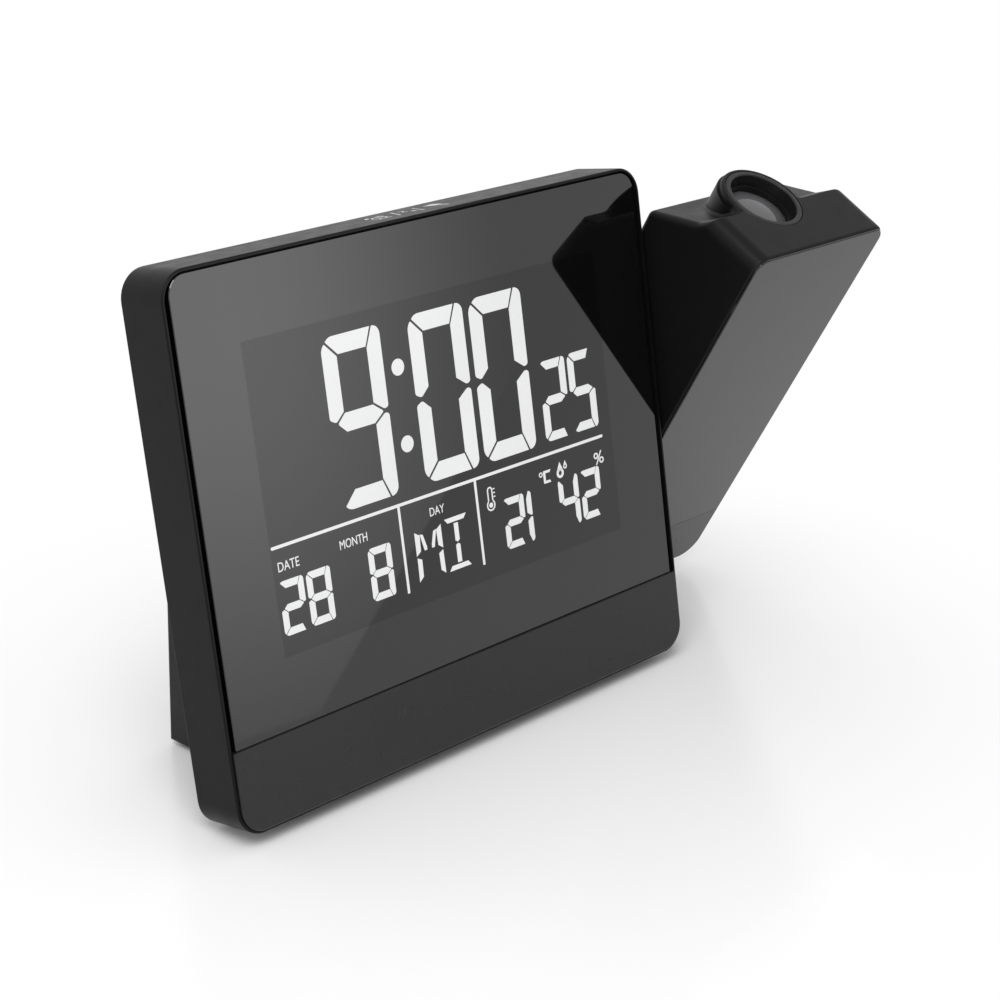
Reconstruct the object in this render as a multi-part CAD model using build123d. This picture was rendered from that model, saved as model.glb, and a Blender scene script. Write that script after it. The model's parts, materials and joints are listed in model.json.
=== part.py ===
from build123d import *
import math
import os

os.makedirs("parts", exist_ok=True)

# A bedside clock: a slab that leans back on a hollow foot, and a projector arm at its right side.
# Everything is built upright: X to the right, Y from the front face to the back, Z up the face,
# with zero at the slab's front lower left corner and the arm folded flush with the slab.
# The finished pieces are then leaned back, and the arm is swung forward, as the clock stands in use.

# Slab
body_width = 142.4
body_height = 120.0
slab_depth = 13.8
body_corner = 6.5
lean_angle = 8.94
wall = 1.8
rim_width = 0.65
rim_round = 0.35
piece_gap = 0.3
seam_height = 19.4
seam_gap = 0.1
pocket_depth = 2.0
panel_sunk = 0.1
panel_side_gap = 1.3
panel_top_gap = 0.4
panel_chamfer = 0.15
strip_proud = 0.65
strip_gap = 0.1
strip_chamfer = 0.2
backing_thick = 1.5

# Display stack
window_side = 17.95
window_bottom = 34.9
window_from_top = 17.4
glass_margin = 3.0
glass_thick = 2.8
contact_ledge = 5.0
guide_thick = 3.0
tray_wall = 1.2
tray_back = 0.8
lamp_strip_width = 2.4
lamp_strip_inset = 6.0
zebra_width = 3.0
zebra_inset = 6.0
board_thick = 1.2
board_margin = 4.0

# Rear cover and foot
cover_thick = 1.6
cover_gap = 0.15
foot_inset = 21.8
foot_reach = 38.6
foot_back_angle = 11.35
foot_height = 78.0
foot_roof_rise = 4.0
foot_wall = 2.0
foot_top_round = 8.0
foot_edge_round = 1.2
knuckle_edge_round = 0.8
vent_count = 6
vent_pitch = 3.4
vent_height = 1.4
side_vent_left = 9.0
side_vent_right = 18.0
side_vent_up = 52.0
high_vent_width = 18.0
high_vent_up = 90.0
screw_inset = 8.0
post_radius = 3.0
post_floor = 0.5
screw_radius = 1.1
screw_head_radius = 2.4
screw_head_height = 1.5
screw_length = 8.5
slot_width = 0.7
slot_depth = 0.5
thread_gap = 0.04
screw_hole_gap = 0.3
head_sunk = 0.6
head_gap = 0.2

# Rubber feet
pad_rise = 1.0
pad_radius = 3.6
pad_edge_round = 0.3
front_pad_inset = 24.0
front_pad_depth = 9.2
rear_pad_inset = 12.0
rear_pad_from_back = 8.0

# Battery bay, in the foot's back wall
cell_radius = 5.25
cell_length = 43.7
cell_nub_radius = 1.9
cell_nub_length = 0.8
cell_edge_round = 0.4
cell_pitch = 11.4
spring_length = 4.0
contact_thick = 0.4
bay_side_gap = 0.4
bay_wall = 1.2
bay_from_side = 6.6
bay_centre_up = 29.0
bay_corner = 1.0
door_lip = 1.9
door_thick = 1.1
door_gap = 0.2
door_corner = 2.0
door_rib = 2.8
grip_radius = 5.0
grip_depth = 0.5
grip_from_edge = 4.0
spring_coils = 3
spring_radius = 4.0
spring_taper = 0.7
spring_wire = 0.78
leaf_width = 8.0
leaf_height = 9.0

# Keys in the foot's back wall
key_count = 6
key_width = 9.0
key_height = 4.4
key_row_margin = 5.25
key_row_up = 57.0
key_proud = 1.2
key_travel = 0.8
key_gap = 0.25
key_flange = 1.0
key_flange_thick = 1.0
key_rest_gap = 0.1
key_corner = 1.2
key_edge_round = 0.5
switch_width = 6.0
switch_height = 3.5
switch_thick = 2.0
switch_clear = 0.4
key_board_height = 12.0
key_board_margin = 3.5
key_post_margin = 1.0
key_post_radius = 2.0

# Sockets in the foot's back wall
socket_board_from_right = 10.0
socket_board_depth = 16.0
jack_up = 15.0
jack_side = 9.0
jack_depth = 11.0
jack_bore_radius = 3.1
jack_bore_depth = 9.0
jack_pin_radius = 0.8
jack_hole_gap = 0.6
socket_board_margin = 2.0
usb_up = 34.0
usb_height = 13.2
usb_width = 5.8
usb_depth = 14.0
usb_shell = 0.35
usb_sunk = 0.4
usb_hole_corner = 0.8
usb_bracket_thick = 1.2
usb_tongue_thick = 1.9
usb_tongue_sunk = 1.5
usb_tongue_inset = 1.0
board_lead_radius = 1.5

# Pivot between slab and arm
arm_gap = 0.8
pivot_height = 60.0
barrel_radius = 6.9
barrel_bore = 3.2
barrel_reach = 12.0
barrel_flange_radius = 10.0
barrel_flange_thick = 1.5
bearing_gap = 0.07
washer_gap = 0.08
wave_thick = 1.2
clip_thick = 1.0
clip_groove_depth = 0.9
clip_radius = 9.4
clip_opening = 6.0
knuckle_radius = 12.5
lead_radius = 1.6

# Arm
arm_width = 50.4
arm_below_top = 1.1
arm_depth = 32.4
arm_flat_depth = 15.0
step_depth = 4.0
step_drop = 4.3
slope_drop = 6.9
arm_round_top = 4.2
arm_round_bottom = 6.3
arm_left_round = 1.8
arm_right_round = 5.0
arm_back_round = 1.8
valley_round = 2.5
arm_front_round = 0.5
arm_front_proud = 0.6
arm_front_inset = 0.5
arm_pocket_inset = 1.2
table_clear = 0.3
arm_roof = 3.3
arm_cover_inset = 5.0
arm_cover_corner = 4.0
arm_cover_low = 12.0
arm_cover_from_top = 22.9
arm_post_inset = 7.5
arm_post_radius = 2.6
rib_inset = 5.0
rib_half = 8.0
rib_thick = 1.6

# How far the arm is swung forward from its folded place as the clock is shown
swing_angle = 38.7

# Projector
lens_from_left = 21.4
lens_depth = 17.8
boss_radius = 11.1
boss_depth = 16.0
collar_thick = 0.6
boss_foot_round = 2.2
boss_rim_round = 0.7
ring_outer = 10.1
ring_bore = 8.65
ring_length = 9.0
ring_rim_round = 0.35
holder_wall = 0.75
holder_drop = 3.0
holder_length = 10.0
running_gap = 0.08
lens_edge_drop = 4.4
lens_edge_thick = 1.6
lens_bulge = 2.0
seat_width = 0.5
seat_thick = 0.8
tube_wall = 1.2
tube_outer = 10.3
tube_from_holder = 3.0
lamp_above_pivot = 6.9
slide_from_lamp = 14.0
slide_thick = 1.1
condenser_from_lamp = 11.0
condenser_edge = 1.0
condenser_bulge = 3.2
lamp_size = 3.2
lamp_height = 1.6
lamp_board_side = 22.0
lamp_plug_inset = 1.0
lamp_plug_width = 5.0
lamp_plug_depth = 6.0
lamp_plug_below = 2.5

# Parts on the main board, with their places across and up from the display's lower left corner
blob_across = 54.6
blob_up = 17.0
blob_radius = 7.5
blob_height = 1.2
blob_round = 0.9
chip_height = 1.6
driver_across = 28.6
driver_up = 11.5
driver_width = 8.0
driver_length = 13.0
charger_across = 79.6
charger_up = 17.0
charger_width = 6.0
charger_length = 8.0
capacitor_across = 70.6
capacitor_up = 1.0
capacitor_radius = 4.0
capacitor_height = 9.0
crystal_up = 5.0
crystal_radius = 1.1
crystal_length = 6.0
buzzer_across = 38.6
buzzer_up = 27.0
buzzer_radius = 6.0
buzzer_height = 6.0
buzzer_hole_radius = 1.0
buzzer_hole_depth = 1.5
sensor_side = 3.0
sensor_thick = 0.5
sensor_up = 26.5
plug_width = 7.0
plug_height = 6.0
touch_length = 36.0
touch_thick = 0.4
touch_margin = 0.5
touch_offset = 4.0

# Radio antenna, hung under the foot's roof
rod_radius = 4.0
rod_length = 52.0
coil_radius = 5.2
coil_length = 18.0
antenna_from_slab = 10.2
antenna_below_roof = 8.0
saddle_width = 2.0
saddle_depth = 6.0
saddle_inset = 4.0

window_left = window_side
window_right = body_width - window_side
window_top = body_height - window_from_top
arm_left = body_width + arm_gap
arm_right = arm_left + arm_width
arm_top = body_height - arm_below_top
arm_cover_high = arm_top - arm_cover_from_top
backing_face = pocket_depth
glass_face = backing_face + backing_thick
guide_face = glass_face + glass_thick
board_face = guide_face + guide_thick + tray_back
board_back = board_face + board_thick
cover_face = slab_depth - cover_thick
pivot_depth = slab_depth
foot_left = foot_inset
foot_right = body_width - foot_inset
lean_tan = math.tan(math.radians(lean_angle))
foot_back = slab_depth + foot_reach
foot_base = foot_reach * lean_tan
foot_middle = (foot_left + foot_right) / 2
last_key = key_count - 1
key_pitch = (foot_right - foot_left - 2 * foot_wall - 2 * key_row_margin) / key_count
tube_top_drop = holder_drop + holder_length + tube_from_holder
lamp_drop = arm_top - pivot_height - lamp_above_pivot
tube_length = lamp_drop - tube_top_drop
tube_inner = tube_outer - tube_wall


def block(x0, x1, y0, y1, z0, z1):
    return Pos((x0 + x1) / 2, (y0 + y1) / 2, (z0 + z1) / 2) * Box(x1 - x0, y1 - y0, z1 - z0)


def plate(x0, x1, z0, z1, y0, y1, corner):
    face = Plane(origin=((x0 + x1) / 2, y0, (z0 + z1) / 2), x_dir=(1, 0, 0), z_dir=(0, 1, 0))
    return extrude(face * RectangleRounded(x1 - x0, z1 - z0, corner), amount=y1 - y0)


def rod(start, direction, radius, length):
    return extrude(Plane(origin=start, z_dir=direction) * Circle(radius), amount=length)


def ring(start, direction, outer, inner, length):
    face = Plane(origin=start, z_dir=direction)
    return extrude(face * (Circle(outer) - Circle(inner)), amount=length)


def side_profile(points):
    # Points are (depth, height); the face stands in the YZ plane.
    return make_face(Polyline(*[(0, y, z) for y, z in points], close=True))


def edges_where(shape, test):
    return ShapeList([edge for edge in shape.edges() if test(edge.center())])


# The foot's back wall has a frame of its own: Y out of the wall, Z up along it.
wall_frame = Pos(0, foot_back, foot_base) * Rot(X=foot_back_angle)


def screw(start, direction, length):
    shank = rod(start, direction, screw_radius, length)
    away = Vector(*direction) * -1
    head = rod(start, away, screw_head_radius, screw_head_height)
    slot = block(-slot_width / 2, slot_width / 2, -screw_head_radius, screw_head_radius,
                 -slot_depth, slot_depth)
    top = Vector(*start) + away * screw_head_height
    return shank + head - Plane(origin=top, z_dir=away) * slot


# ---------------------------------------------------------------- slab

cover_screw_spots = [(x, z) for x in (screw_inset, body_width - screw_inset)
                     for z in (screw_inset, body_height - screw_inset)]


def housing_frame():
    shell = plate(0, body_width, 0, body_height, 0, slab_depth, body_corner)
    front = edges_where(shell, lambda c: c.Y < 0.01)
    back = edges_where(shell, lambda c: c.Y > slab_depth - 0.01)
    shell = fillet(front + back, rim_round)
    pocket = plate(rim_width, body_width - rim_width, rim_width, body_height - rim_width,
                   -1, backing_face, body_corner - rim_width)
    room = plate(wall, body_width - wall, wall, body_height - wall,
                 glass_face, slab_depth + 1, body_corner - wall)
    window = block(window_left, window_right, 0, glass_face + 1, window_bottom, window_top)
    shell = shell - pocket - room - window
    for x, z in cover_screw_spots:
        shell += rod((x, glass_face, z), (0, 1, 0), post_radius, cover_face - glass_face)
        shell -= rod((x, glass_face + post_floor, z), (0, 1, 0), screw_radius + thread_gap, slab_depth)
    bearing = rod((body_width - 2 * wall, pivot_depth, pivot_height), (1, 0, 0),
                  barrel_radius + bearing_gap, 3 * wall)
    return shell - bearing


def front_panel():
    # Almost level with the rim, with an open groove along its sides and its top.
    side = rim_width + panel_side_gap
    sheet = plate(side, body_width - side, 0, body_height - rim_width - panel_top_gap,
                  panel_sunk, backing_face, body_corner - side)
    sheet = chamfer(edges_where(sheet, lambda c: c.Y < panel_sunk + 0.01), panel_chamfer)
    return sheet - block(0, body_width, -1, slab_depth, -1, seam_height + seam_gap / 2)


def front_strip():
    # Stands proud of the rim, and nearly covers it.
    edge = rim_width + strip_gap
    sheet = plate(edge, body_width - edge, edge, body_height, -strip_proud, backing_face,
                  body_corner - edge)
    sheet -= block(0, body_width, -1, slab_depth, seam_height - seam_gap / 2, body_height + 1)
    return chamfer(edges_where(sheet, lambda c: c.Y < 0.01 - strip_proud), strip_chamfer)


def display_glass():
    # The rear pane is longer at the foot, where the zebra strips press on its contacts.
    low = window_bottom - glass_margin
    half = glass_thick / 2
    front = block(window_left - glass_margin, window_right + glass_margin, glass_face,
                  glass_face + half, low, window_top + glass_margin)
    rear = block(window_left - glass_margin, window_right + glass_margin, glass_face + half,
                 guide_face, low - contact_ledge / 2, window_top + glass_margin)
    return front + rear


def light_guide():
    return block(window_left, window_right - lamp_strip_width, guide_face,
                 guide_face + guide_thick, window_bottom, window_top)


def backlight_board():
    return block(window_right - lamp_strip_width, window_right, guide_face,
                 guide_face + guide_thick, window_bottom + lamp_strip_inset,
                 window_top - lamp_strip_inset)


def reflector_tray():
    outer = block(window_left - tray_wall, window_right + tray_wall, guide_face, board_face,
                  window_bottom - tray_wall, window_top + tray_wall)
    room = block(window_left, window_right, guide_face - 1, guide_face + guide_thick,
                 window_bottom, window_top)
    return outer - room


def zebra_strips():
    top = window_bottom - tray_wall - piece_gap
    return block(window_left + zebra_inset, window_right - zebra_inset, guide_face, board_face,
                 top - zebra_width, top)


def main_board():
    low = window_bottom - glass_margin - contact_ledge
    return block(window_left - board_margin, window_right + glass_margin, board_face, board_back,
                 low, window_top + board_margin)


def on_board(across, up):
    return (window_left + across, board_back, window_bottom + up)


def chip(across, up, width, length):
    x, y, z = on_board(across, up)
    return block(x - width / 2, x + width / 2, y, y + chip_height, z - length / 2, z + length / 2)


def board_chips():
    blob = rod(on_board(blob_across, blob_up), (0, 1, 0), blob_radius, blob_height)
    blob = fillet(edges_where(blob, lambda c: c.Y > board_back + blob_height - 0.01), blob_round)
    driver = chip(driver_across, driver_up, driver_width, driver_length)
    charger = chip(charger_across, charger_up, charger_width, charger_length)
    capacitor = rod(on_board(capacitor_across, capacitor_up), (0, 1, 0), capacitor_radius,
                    capacitor_height)
    return Compound(children=[blob, driver, charger, capacitor])


def quartz_crystal():
    x, y, z = on_board(blob_across, crystal_up)
    return rod((x, y + crystal_radius, z), (0, 0, -1), crystal_radius, crystal_length)


def touch_strip():
    # A foil under the slab's top edge, behind the printed touch marks.
    ceiling = body_height - wall
    left = (window_left + window_right - touch_length) / 2 - touch_offset
    return block(left, left + touch_length, glass_face + touch_margin, cover_face - touch_margin,
                 ceiling - touch_thick, ceiling)


def buzzer():
    x, y, z = on_board(buzzer_across, buzzer_up)
    can = rod((x, y, z), (0, 1, 0), buzzer_radius, buzzer_height)
    return can - rod((x, y + buzzer_height - buzzer_hole_depth, z), (0, 1, 0),
                     buzzer_hole_radius, buzzer_height)


antenna_depth = slab_depth + antenna_from_slab
antenna_height = foot_height - antenna_below_roof


def antenna_start(length):
    return (foot_middle - length / 2, antenna_depth, antenna_height)


def ferrite_rod():
    return rod(antenna_start(rod_length), (1, 0, 0), rod_radius, rod_length)


def antenna_coil():
    return ring(antenna_start(coil_length), (1, 0, 0), coil_radius, rod_radius, coil_length)


def room_sensor():
    x, y, z = on_board(sensor_side - board_margin, sensor_up)
    half = sensor_side / 2
    return block(x - half, x + half, y, y + sensor_thick, z - half, z + half)


def projector_plug():
    right = window_right + glass_margin
    half = plug_height / 2
    return block(right - plug_width, right, board_back, 2 * pivot_depth - board_back,
                 pivot_height - half, pivot_height + half)


# ---------------------------------------------------------------- rear cover and foot

def foot_section(front):
    # The foot seen from the side, from a depth in front of its back wall.
    rise = math.tan(math.radians(foot_back_angle))
    top_depth = foot_back - (foot_height - foot_base) * rise
    roof_tan = foot_roof_rise / (top_depth - slab_depth)
    floor_front = (front - slab_depth) * lean_tan
    roof_front = foot_height + roof_tan * (top_depth - front)
    face = side_profile([(front, floor_front), (foot_back, foot_base), (top_depth, foot_height),
                         (front, roof_front)])
    crest = face.vertices().sort_by_distance((0, top_depth, foot_height))[0]
    return fillet(crest, foot_top_round)


def foot_solid():
    solid = Pos(foot_left, 0, 0) * extrude(foot_section(slab_depth), amount=foot_right - foot_left,
                                           dir=(1, 0, 0))
    sides = edges_where(solid, lambda c: c.Y > slab_depth + 0.5
                        and (c.X < foot_left + 0.01 or c.X > foot_right - 0.01))
    return fillet(sides, foot_edge_round)


def foot_room():
    inner = offset(foot_section(0), amount=-foot_wall, kind=Kind.INTERSECTION)
    room = Pos(foot_left + foot_wall, 0, 0) * extrude(
        inner, amount=foot_right - foot_left - 2 * foot_wall, dir=(1, 0, 0))
    return room - block(0, body_width, -foot_wall, cover_face - 1, -foot_wall, body_height)


def key_spot(index):
    return foot_middle + (index - last_key / 2) * key_pitch


bay_length = cell_length + cell_nub_length + 2 * contact_thick + spring_length
bay_height = 2 * cell_radius + cell_pitch + 2 * bay_side_gap
bay_depth = 2 * cell_radius + bay_side_gap
bay_centre_x = foot_left + foot_wall + bay_from_side + bay_length / 2


def wall_block(centre_x, width, y0, y1, centre_up, height):
    return wall_frame * block(centre_x - width / 2, centre_x + width / 2, y0, y1,
                              centre_up - height / 2, centre_up + height / 2)


def wall_plate(centre_x, width, y0, y1, centre_up, height, corner):
    return wall_frame * plate(centre_x - width / 2, centre_x + width / 2,
                              centre_up - height / 2, centre_up + height / 2, y0, y1, corner)


def battery_bay(grow, depth_from):
    return wall_block(bay_centre_x, bay_length + 2 * grow, -foot_wall - bay_depth - grow,
                      depth_from, bay_centre_up, bay_height + 2 * grow)


def knuckle():
    # The bulge over the arm's pivot, from the foot's side to the slab's edge.
    start = (foot_right - foot_wall, pivot_depth, pivot_height)
    length = body_width - foot_right + foot_wall
    dome = rod(start, (1, 0, 0), knuckle_radius, length)
    dome = fillet(edges_where(dome, lambda c: c.X > body_width - 0.01), knuckle_edge_round)
    return dome - block(0, body_width + 1, 0, slab_depth, 0, body_height)


def knuckle_room():
    start = (foot_right - foot_wall - 1, pivot_depth, pivot_height)
    length = body_width - wall - foot_right + foot_wall + 1
    return rod(start, (1, 0, 0), knuckle_radius - wall, length)


def antenna_saddles():
    saddles = []
    for side in (-1, 1):
        left = foot_middle + side * (rod_length / 2 - saddle_inset) - saddle_width / 2
        saddle = block(left, left + saddle_width, antenna_depth - saddle_depth / 2,
                       antenna_depth + saddle_depth / 2, antenna_height,
                       foot_height + foot_wall / 2)
        saddles.append(saddle - rod((left - 1, antenna_depth, antenna_height), (1, 0, 0),
                                    rod_radius, saddle_width + 2))
    return saddles


def key_posts():
    posts = []
    for side in (-1, 1):
        spot = foot_middle + side * (key_pitch * key_count / 2 + key_post_margin)
        posts.append(wall_frame * rod((spot, -foot_wall / 2, key_row_up), (0, -1, 0),
                                      key_post_radius, foot_wall / 2 + key_board_face))
    return posts


key_board_face = key_rest_gap + key_flange_thick + key_travel + switch_clear + switch_thick


def rear_cover():
    inset = wall + cover_gap
    cover = plate(inset, body_width - inset, inset, body_height - inset, cover_face, slab_depth,
                  body_corner - inset)
    cover = cover + foot_solid() + knuckle()
    cover = cover - foot_room() - knuckle_room()
    cover += battery_bay(bay_wall, -foot_wall + 0.01)
    for saddle in antenna_saddles():
        cover += saddle
    for post in key_posts():
        cover += post
    cover -= battery_bay(0, 1)
    cover -= wall_plate(bay_centre_x, bay_length + 2 * door_lip, -door_thick, 1,
                        bay_centre_up, bay_height + 2 * door_lip, door_corner)
    for index in range(key_count):
        cover -= wall_plate(key_spot(index), key_width + 2 * key_gap, -2 * foot_wall, 1,
                            key_row_up, key_height + 2 * key_gap, key_corner + key_gap)
    cover -= wall_frame * rod((jack_x(), 1, jack_up), (0, -1, 0),
                              jack_bore_radius + jack_hole_gap, foot_wall + 1.5)
    cover -= wall_plate(usb_x(), usb_width + 2 * key_gap, -2 * foot_wall, 1, usb_up,
                        usb_height + 2 * key_gap, usb_hole_corner)
    cover -= rod((foot_right, pivot_depth, pivot_height), (1, 0, 0),
                 barrel_radius + bearing_gap, body_width)
    for x, z in cover_screw_spots:
        cover -= rod((x, 0, z), (0, 1, 0), screw_radius + screw_hole_gap, slab_depth + 1)
        cover -= rod((x, slab_depth - head_sunk, z), (0, 1, 0), screw_head_radius + head_gap, 1)
    return cut_vents(cover)


def cut_vents(cover):
    # Slots in front of the room sensor, and a second set above the foot.
    middle = body_width / 2
    sets = [(side_vent_left, side_vent_right, side_vent_up),
            (middle - high_vent_width / 2, middle + high_vent_width / 2, high_vent_up)]
    for left, right, start in sets:
        for index in range(vent_count):
            low = start + index * vent_pitch
            cover -= block(left, right, cover_face - 1, slab_depth + 1, low, low + vent_height)
    return cover


def cover_screws():
    return Compound(children=[
        screw((x, slab_depth - head_sunk, z), (0, -1, 0), screw_length)
        for x, z in cover_screw_spots])


def battery_door():
    lid = wall_plate(bay_centre_x, bay_length + 2 * door_lip - 2 * door_gap, -door_thick, 0,
                     bay_centre_up, bay_height + 2 * door_lip - 2 * door_gap,
                     door_corner - door_gap)
    tongue = wall_plate(bay_centre_x, bay_length - 2 * door_gap, -foot_wall, -door_thick,
                        bay_centre_up, bay_height - 2 * door_gap, bay_corner)
    inset = door_gap + door_rib
    hollow = wall_plate(bay_centre_x, bay_length - 2 * inset, -foot_wall - 1, -door_thick,
                        bay_centre_up, bay_height - 2 * inset, bay_corner)
    grip_up = bay_centre_up + bay_height / 2 - grip_from_edge
    grip = wall_frame * rod((bay_centre_x, -grip_depth, grip_up), (0, 1, 0), grip_radius,
                            2 * grip_depth)
    return lid + (tongue - hollow) - grip


def cell_line(index):
    up = bay_centre_up + (index - 0.5) * cell_pitch
    return -foot_wall - bay_side_gap / 2 - cell_radius, up


def battery_cells():
    # Two AAA cells, one each way round.
    cells = []
    for index, way in enumerate((1, -1)):
        depth, up = cell_line(index)
        low = bay_centre_x - way * (bay_length / 2 - contact_thick - spring_length)
        body = rod((low, depth, up), (way, 0, 0), cell_radius, cell_length)
        body = fillet(body.edges(), cell_edge_round)
        nub = rod((low + way * cell_length, depth, up), (way, 0, 0), cell_nub_radius,
                  cell_nub_length)
        cells.append(wall_frame * (body + nub))
    return Compound(children=cells)


def battery_contacts():
    # A leaf at each end of a cell, and a tapered spring on the leaf at its flat end.
    pieces = []
    step = spring_length / spring_coils
    for index, way in enumerate((1, -1)):
        depth, up = cell_line(index)
        for end in (-1, 1):
            x = bay_centre_x + end * (bay_length - contact_thick) / 2
            leaf = block(x - contact_thick / 2, x + contact_thick / 2, depth - leaf_width / 2,
                         depth + leaf_width / 2, up - leaf_height / 2, up + leaf_height / 2)
            pieces.append(wall_frame * leaf)
        start = bay_centre_x - way * (bay_length / 2 - contact_thick)
        for turn in range(spring_coils):
            radius = spring_radius - spring_taper * turn
            coil = ring((start + way * turn * step, depth, up), (way, 0, 0), radius,
                        radius - spring_wire, step)
            pieces.append(wall_frame * coil)
    return Compound(children=pieces)


def key_cap(index):
    spot = key_spot(index)
    back = -foot_wall - key_rest_gap
    cap = plate(spot - key_width / 2, spot + key_width / 2, key_row_up - key_height / 2,
                key_row_up + key_height / 2, back - key_flange_thick / 2, key_proud, key_corner)
    cap = fillet(edges_where(cap, lambda c: c.Y > key_proud - 0.01), key_edge_round)
    flange = block(spot - key_width / 2 - key_flange, spot + key_width / 2 + key_flange,
                   back - key_flange_thick, back, key_row_up - key_height / 2 - key_flange,
                   key_row_up + key_height / 2 + key_flange)
    return wall_frame * (cap + flange)


def key_board():
    width = key_pitch * key_count + 2 * key_board_margin
    face = -foot_wall - key_board_face
    return wall_block(foot_middle, width, face - board_thick, face, key_row_up, key_board_height)


def key_switches():
    face = -foot_wall - key_board_face
    return Compound(children=[
        wall_block(key_spot(index), switch_width, face, face + switch_thick, key_row_up,
                   switch_height) for index in range(key_count)])


def socket_board_x():
    return foot_right - socket_board_from_right


def jack_x():
    return socket_board_x() - jack_side / 2


def usb_x():
    return socket_board_x() - usb_width / 2 - usb_bracket_thick


def socket_board():
    x = socket_board_x()
    low = jack_up - jack_side / 2 - socket_board_margin
    high = usb_up + usb_height / 2 + socket_board_margin
    return wall_frame * block(x, x + board_thick, -foot_wall - socket_board_depth, -foot_wall,
                              low, high)


def dc_jack():
    body = wall_block(jack_x(), jack_side, -foot_wall - jack_depth, -foot_wall, jack_up, jack_side)
    start = (jack_x(), -foot_wall, jack_up)
    body -= wall_frame * rod(start, (0, -1, 0), jack_bore_radius, jack_bore_depth)
    return body + wall_frame * rod((jack_x(), -foot_wall - 1, jack_up), (0, -1, 0),
                                   jack_pin_radius, jack_bore_depth)


def usb_socket():
    front = -usb_sunk
    back = front - usb_depth
    shell = wall_block(usb_x(), usb_width, back, front, usb_up, usb_height)
    shell -= wall_block(usb_x(), usb_width - 2 * usb_shell, back + usb_shell, front + 1,
                        usb_up, usb_height - 2 * usb_shell)
    bracket = wall_block(socket_board_x() - usb_bracket_thick / 2, usb_bracket_thick, back,
                         -foot_wall - socket_board_margin / 2, usb_up,
                         usb_height - socket_board_margin)
    return shell + bracket


def usb_tongue():
    inside = usb_x() + usb_width / 2 - usb_shell
    half = usb_height / 2 - usb_tongue_inset
    return wall_frame * block(inside - usb_tongue_thick, inside, usb_shell - usb_sunk - usb_depth,
                              -usb_sunk - usb_tongue_sunk, usb_up - half, usb_up + half)


def lead_to(x, behind_wall, up):
    # A wire bundle from the main board to a place behind the foot's back wall.
    near = (wall_frame * Pos(x, -behind_wall, up)).position
    lead = rod((near.X, board_back, near.Z), (0, 1, 0), board_lead_radius, near.Y - board_back + 1)
    return lead - wall_frame * block(0, body_width, -behind_wall, foot_wall, 0, foot_height)


def board_leads():
    keys_lead = lead_to(key_spot(0), foot_wall + key_board_face + board_thick, key_row_up)
    power_lead = lead_to(socket_board_x() + board_thick / 2, foot_wall + socket_board_depth,
                         (jack_up + usb_up) / 2 - board_lead_radius)
    return Compound(children=[keys_lead, power_lead])


def rubber_pad(x, depth):
    # A pad that stands square on the table, longer than it needs to be.
    lean_cos = math.cos(math.radians(lean_angle))
    bottom = (x, depth, (depth - slab_depth) * lean_tan - pad_rise / lean_cos)
    direction = (0, -math.sin(math.radians(lean_angle)), lean_cos)
    pad = rod(bottom, direction, pad_radius, 2 * pad_radius)
    return fillet(pad.edges().sort_by(Axis.Z)[0], pad_edge_round)


def above_base():
    # All that lies above the level of the slab's foot end.
    return block(0, body_width, -foot_reach, foot_back + foot_reach, 0, foot_height)


def front_feet():
    return Compound(children=[rubber_pad(x, front_pad_depth) - above_base()
                              for x in (front_pad_inset, body_width - front_pad_inset)])


def rear_feet():
    depth = foot_back - rear_pad_from_back
    foot_floor = Pos(0, slab_depth, 0) * Rot(X=lean_angle) * Pos(0, -slab_depth, 0)
    return Compound(children=[rubber_pad(x, depth) - foot_floor * above_base()
                              for x in (foot_left + rear_pad_inset, foot_right - rear_pad_inset)])


# ---------------------------------------------------------------- pivot

def pivot_barrel():
    axis = (1, 0, 0)
    start = (body_width - barrel_reach, pivot_depth, pivot_height)
    inner = arm_left + wall
    barrel = rod(start, axis, barrel_radius, inner - start[0])
    flange = rod((inner, pivot_depth, pivot_height), axis, barrel_flange_radius,
                 barrel_flange_thick)
    groove = ring((clip_x(), pivot_depth, pivot_height), axis, barrel_radius + 1,
                  barrel_radius - clip_groove_depth, clip_thick)
    bore = rod((start[0] - 1, pivot_depth, pivot_height), axis, barrel_bore, 3 * barrel_reach)
    return barrel + flange - groove - bore


def clip_x():
    return body_width - wall - washer_gap - wave_thick - clip_thick


def retaining_clip():
    # An open ring that snaps into the barrel's groove.
    clip = ring((clip_x(), pivot_depth, pivot_height), (1, 0, 0), clip_radius,
                barrel_radius - clip_groove_depth, clip_thick)
    half = clip_opening / 2
    return clip - block(0, arm_right, pivot_depth - half, pivot_depth + half, 0, pivot_height)


def wave_washer():
    x = body_width - wall - washer_gap - wave_thick
    return ring((x, pivot_depth, pivot_height), (1, 0, 0), clip_radius,
                barrel_radius + thread_gap, wave_thick)


def friction_washer():
    x = body_width + washer_gap
    return ring((x, pivot_depth, pivot_height), (1, 0, 0), barrel_flange_radius,
                barrel_radius + thread_gap, arm_left - x)


def projector_lead():
    start = window_right + glass_margin
    return rod((start, pivot_depth, pivot_height), (1, 0, 0), lead_radius,
               lamp_plug_left() - start)


def lamp_plug_left():
    return lens_x - lamp_board_side / 2 + lamp_plug_inset


# ---------------------------------------------------------------- arm, folded beside the slab

swing_radius = pad_rise + pivot_height * math.cos(math.radians(lean_angle)) - table_clear
arm_base = pivot_height - math.sqrt(swing_radius ** 2 - pivot_depth ** 2)
lens_x = arm_left + lens_from_left


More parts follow.
